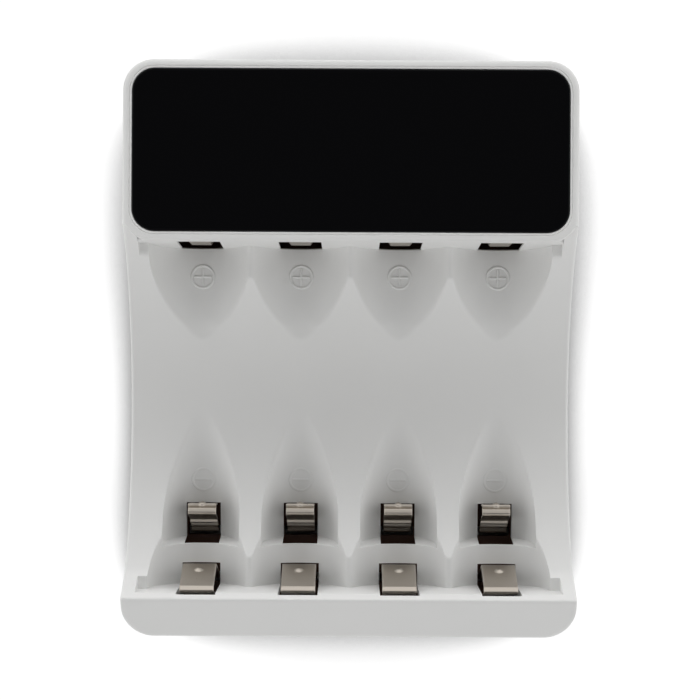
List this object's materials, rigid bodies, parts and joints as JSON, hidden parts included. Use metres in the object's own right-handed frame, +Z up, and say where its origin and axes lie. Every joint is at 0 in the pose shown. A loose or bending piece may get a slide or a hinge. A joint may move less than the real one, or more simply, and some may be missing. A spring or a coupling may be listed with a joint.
{
  "type": "battery charger",
  "caption": "Desktop charger for cylindrical cells in two sizes, with sunk bays, sprung contacts and a dark display window.",
  "frame": {"origin": "centre of the footprint, on the table surface", "axes": "+Z up, +Y towards the tall display head at the rear, +X to the right seen from above with the head away from the viewer"},
  "size_m": [0.0688, 0.0872, 0.027],
  "materials": {
    "casing": "fine matt white moulding",
    "window": "polished black",
    "contact_metal": "nickel-plated spring strip",
    "fastener_steel": "zinc-plated",
    "circuit_board": "green solder mask",
    "component_black": "moulded epoxy",
    "foot_rubber": "matt"
  },
  "bodies": {
    "case": {"charge_controller_chip": "component_black", "charge_transistor_1": "component_black", "charge_transistor_2": "component_black", "charge_transistor_3": "component_black", "charge_transistor_4": "component_black", "display_board": "circuit_board", "display_header": "component_black", "display_module": "component_black", "display_window": "window", "filter_capacitor_1": "fastener_steel", "filter_capacitor_2": "fastener_steel", "housing_screw_1": "fastener_steel", "housing_screw_2": "fastener_steel", "housing_screw_3": "fastener_steel", "housing_screw_4": "fastener_steel", "lower_housing": "casing", "main_circuit_board": "circuit_board", "positive_contact_1": "contact_metal", "positive_contact_2": "contact_metal", "positive_contact_3": "contact_metal", "positive_contact_4": "contact_metal", "power_inductor": "component_black", "rubber_foot_1": "foot_rubber", "rubber_foot_2": "foot_rubber", "rubber_foot_3": "foot_rubber", "rubber_foot_4": "foot_rubber", "upper_housing": "casing", "usb_input_socket": "fastener_steel"},
    "aa_negative_contact_1": {"aa_negative_contact_1": "contact_metal"},
    "aa_negative_contact_2": {"aa_negative_contact_2": "contact_metal"},
    "aa_negative_contact_3": {"aa_negative_contact_3": "contact_metal"},
    "aa_negative_contact_4": {"aa_negative_contact_4": "contact_metal"},
    "aaa_negative_contact_1": {"aaa_negative_contact_1": "contact_metal"},
    "aaa_negative_contact_2": {"aaa_negative_contact_2": "contact_metal"},
    "aaa_negative_contact_3": {"aaa_negative_contact_3": "contact_metal"},
    "aaa_negative_contact_4": {"aaa_negative_contact_4": "contact_metal"}
  },
  "joints": [
    {"name": "aa_contact_flex_1", "type": "hinge", "parent": "case", "child": "aa_negative_contact_1", "pos_m": [-0.02295, -0.0363, 0.004], "axis": [1, 0, 0], "range_deg": [0, 8], "stiffness_Nm_per_rad": 0.3},
    {"name": "aa_contact_flex_2", "type": "hinge", "parent": "case", "child": "aa_negative_contact_2", "pos_m": [-0.00765, -0.0363, 0.004], "axis": [1, 0, 0], "range_deg": [0, 8], "stiffness_Nm_per_rad": 0.3},
    {"name": "aa_contact_flex_3", "type": "hinge", "parent": "case", "child": "aa_negative_contact_3", "pos_m": [0.00765, -0.0363, 0.004], "axis": [1, 0, 0], "range_deg": [0, 8], "stiffness_Nm_per_rad": 0.3},
    {"name": "aa_contact_flex_4", "type": "hinge", "parent": "case", "child": "aa_negative_contact_4", "pos_m": [0.02295, -0.0363, 0.004], "axis": [1, 0, 0], "range_deg": [0, 8], "stiffness_Nm_per_rad": 0.3},
    {"name": "aaa_contact_flex_1", "type": "hinge", "parent": "case", "child": "aaa_negative_contact_1", "pos_m": [-0.02295, -0.0289, 0.004], "axis": [1, 0, 0], "range_deg": [0, 22], "stiffness_Nm_per_rad": 0.04},
    {"name": "aaa_contact_flex_2", "type": "hinge", "parent": "case", "child": "aaa_negative_contact_2", "pos_m": [-0.00765, -0.0289, 0.004], "axis": [1, 0, 0], "range_deg": [0, 22], "stiffness_Nm_per_rad": 0.04},
    {"name": "aaa_contact_flex_3", "type": "hinge", "parent": "case", "child": "aaa_negative_contact_3", "pos_m": [0.00765, -0.0289, 0.004], "axis": [1, 0, 0], "range_deg": [0, 22], "stiffness_Nm_per_rad": 0.04},
    {"name": "aaa_contact_flex_4", "type": "hinge", "parent": "case", "child": "aaa_negative_contact_4", "pos_m": [0.02295, -0.0289, 0.004], "axis": [1, 0, 0], "range_deg": [0, 22], "stiffness_Nm_per_rad": 0.04}
  ]
}
